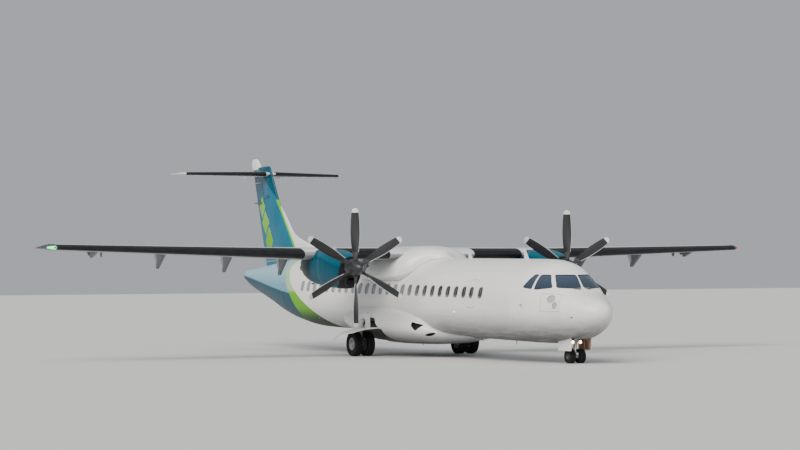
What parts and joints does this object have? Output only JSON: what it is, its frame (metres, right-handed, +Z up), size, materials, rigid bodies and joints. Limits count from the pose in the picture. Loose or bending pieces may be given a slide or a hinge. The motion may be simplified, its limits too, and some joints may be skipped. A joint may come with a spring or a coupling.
{
  "type": "turboprop airliner",
  "caption": "High-wing turboprop airliner parked on its landing gear, with propellers, wheels, nose steering, control surfaces, flaps and cabin doors that move.",
  "frame": {"origin": "on the ground, under the middle of the aircraft's box", "axes": "+X forward to the nose, +Y to the port wing tip, +Z up"},
  "size_m": [27.166, 27.05, 7.65],
  "materials": {
    "white_skin": "gloss",
    "white_composite": "gloss",
    "grey_composite": "satin",
    "teal_composite": "gloss",
    "charcoal_composite": "satin",
    "engine_steel": "satin",
    "gear_steel": "satin",
    "wheel_metal": "satin",
    "tyre_rubber": "matte",
    "cockpit_glass": "gloss"
  },
  "bodies": {
    "airframe": {"fuselage_nose": "white_skin", "fuselage_forward": "white_skin", "fuselage_centre": "white_skin", "fuselage_rear": "white_skin", "service_door": "white_skin", "emergency_exit_left": "white_skin", "emergency_exit_right": "white_skin", "wing_centre": "white_skin", "radome": "white_composite", "wing_fairing": "white_composite", "belly_fairing": "white_composite", "wing_panel_left": "white_composite", "wing_panel_right": "white_composite", "nose_gear_door_left": "white_composite", "nose_gear_door_right": "white_composite", "main_gear_door_left": "white_composite", "main_gear_door_right": "white_composite", "tail_cone": "teal_composite", "fin": "teal_composite", "fin_tip": "teal_composite", "tailplane": "teal_composite", "nacelle_left": "teal_composite", "nacelle_right": "teal_composite", "engine_left": "engine_steel", "engine_right": "engine_steel", "nose_gear_leg": "gear_steel", "main_gear_leg_left": "gear_steel", "main_gear_leg_right": "gear_steel", "cockpit_windows": "cockpit_glass"},
    "propeller_left": {"propeller_left": "charcoal_composite", "spinner_left": "charcoal_composite"},
    "propeller_right": {"propeller_right": "charcoal_composite", "spinner_right": "charcoal_composite"},
    "nose_fork": {"nose_gear_fork": "gear_steel"},
    "nose_wheel_pair": {"nose_wheels": "wheel_metal", "nose_tyre_left": "tyre_rubber", "nose_tyre_right": "tyre_rubber"},
    "main_wheel_pair_left": {"main_wheels_left": "wheel_metal", "main_tyre_outer_left": "tyre_rubber", "main_tyre_inner_left": "tyre_rubber"},
    "main_wheel_pair_right": {"main_wheels_right": "wheel_metal", "main_tyre_outer_right": "tyre_rubber", "main_tyre_inner_right": "tyre_rubber"},
    "rudder": {"rudder": "teal_composite"},
    "elevator_left": {"elevator_left": "teal_composite"},
    "elevator_right": {"elevator_right": "teal_composite"},
    "aileron_left": {"aileron_left": "grey_composite"},
    "aileron_right": {"aileron_right": "grey_composite"},
    "flap_inboard_left": {"flap_inboard_left": "grey_composite"},
    "flap_inboard_right": {"flap_inboard_right": "grey_composite"},
    "flap_outboard_left": {"flap_outboard_left": "grey_composite"},
    "flap_outboard_right": {"flap_outboard_right": "grey_composite"},
    "passenger_door": {"passenger_door": "white_skin"},
    "cargo_door": {"cargo_door": "white_skin"}
  },
  "joints": [
    {"name": "propeller_left_spin", "type": "hinge", "parent": "airframe", "child": "propeller_left", "pos_m": [4.823, 4.05, 3.02], "axis": [1, 0, 0], "continuous": true},
    {"name": "propeller_right_spin", "type": "hinge", "parent": "airframe", "child": "propeller_right", "pos_m": [4.823, -4.05, 3.02], "axis": [1, 0, 0], "continuous": true},
    {"name": "nose_steering", "type": "hinge", "parent": "airframe", "child": "nose_fork", "pos_m": [11.863, 0, 0.5], "axis": [0, 0, 1], "range_deg": [-60, 60]},
    {"name": "nose_wheel_spin", "type": "hinge", "parent": "nose_fork", "child": "nose_wheel_pair", "pos_m": [11.863, 0, 0.22223], "axis": [0, 1, 0], "continuous": true},
    {"name": "main_wheel_left_spin", "type": "hinge", "parent": "airframe", "child": "main_wheel_pair_left", "pos_m": [1.083, 2.055, 0.42668], "axis": [0, 1, 0], "continuous": true},
    {"name": "main_wheel_right_spin", "type": "hinge", "parent": "airframe", "child": "main_wheel_pair_right", "pos_m": [1.083, -2.055, 0.42668], "axis": [0, 1, 0], "continuous": true},
    {"name": "rudder_turn", "type": "hinge", "parent": "airframe", "child": "rudder", "pos_m": [-11.317, 0, 5.03], "axis": [-0.3825, 0, 0.9239], "range_deg": [-27, 27]},
    {"name": "elevator_left_tilt", "type": "hinge", "parent": "airframe", "child": "elevator_left", "pos_m": [-12.497, 1.815, 6.93], "axis": [0, 1, 0], "range_deg": [-15, 23]},
    {"name": "elevator_right_tilt", "type": "hinge", "parent": "airframe", "child": "elevator_right", "pos_m": [-12.497, -1.815, 6.93], "axis": [0, 1, 0], "range_deg": [-15, 23]},
    {"name": "aileron_left_tilt", "type": "hinge", "parent": "airframe", "child": "aileron_left", "pos_m": [0.58231, 11.455, 3.70535], "axis": [-0.0101, 0.9996, 0.0267], "range_deg": [-14, 14]},
    {"name": "aileron_right_tilt", "type": "hinge", "parent": "airframe", "child": "aileron_right", "pos_m": [0.58231, -11.455, 3.70535], "axis": [0.0101, 0.9996, -0.0267], "range_deg": [-14, 14]},
    {"name": "flap_inboard_left_tilt", "type": "hinge", "parent": "airframe", "child": "flap_inboard_left", "pos_m": [0.7383, 2.57, 2.86], "axis": [0, -1, 0], "range_deg": [0, 35]},
    {"name": "flap_inboard_right_tilt", "type": "hinge", "parent": "airframe", "child": "flap_inboard_right", "pos_m": [0.7383, -2.57, 2.86], "axis": [0, -1, 0], "range_deg": [0, 35]},
    {"name": "flap_outboard_left_tilt", "type": "hinge", "parent": "airframe", "child": "flap_outboard_left", "pos_m": [0.70207, 7.165, 2.98501], "axis": [0.0153, -0.9984, -0.0539], "range_deg": [0, 35]},
    {"name": "flap_outboard_right_tilt", "type": "hinge", "parent": "airframe", "child": "flap_outboard_right", "pos_m": [0.70207, -7.165, 2.98501], "axis": [-0.0153, -0.9984, 0.0539], "range_deg": [0, 35]},
    {"name": "passenger_door_swing", "type": "hinge", "parent": "airframe", "child": "passenger_door", "pos_m": [-6.357, 0.97793, 1.33927], "axis": [-0.9864, -0.1645, 0.0012], "range_deg": [0, 125]},
    {"name": "cargo_door_swing", "type": "hinge", "parent": "airframe", "child": "cargo_door", "pos_m": [9.328, 1.11692, 2.69259], "axis": [0.9999, -0.0149, -0.0002], "range_deg": [0, 110]}
  ],
  "couplings": [
    {"joint": "elevator_right_tilt", "follows": "elevator_left_tilt", "ratio": 1},
    {"joint": "aileron_right_tilt", "follows": "aileron_left_tilt", "ratio": -1},
    {"joint": "flap_inboard_right_tilt", "follows": "flap_inboard_left_tilt", "ratio": 1},
    {"joint": "flap_outboard_left_tilt", "follows": "flap_inboard_left_tilt", "ratio": 1},
    {"joint": "flap_outboard_right_tilt", "follows": "flap_inboard_left_tilt", "ratio": 1}
  ]
}
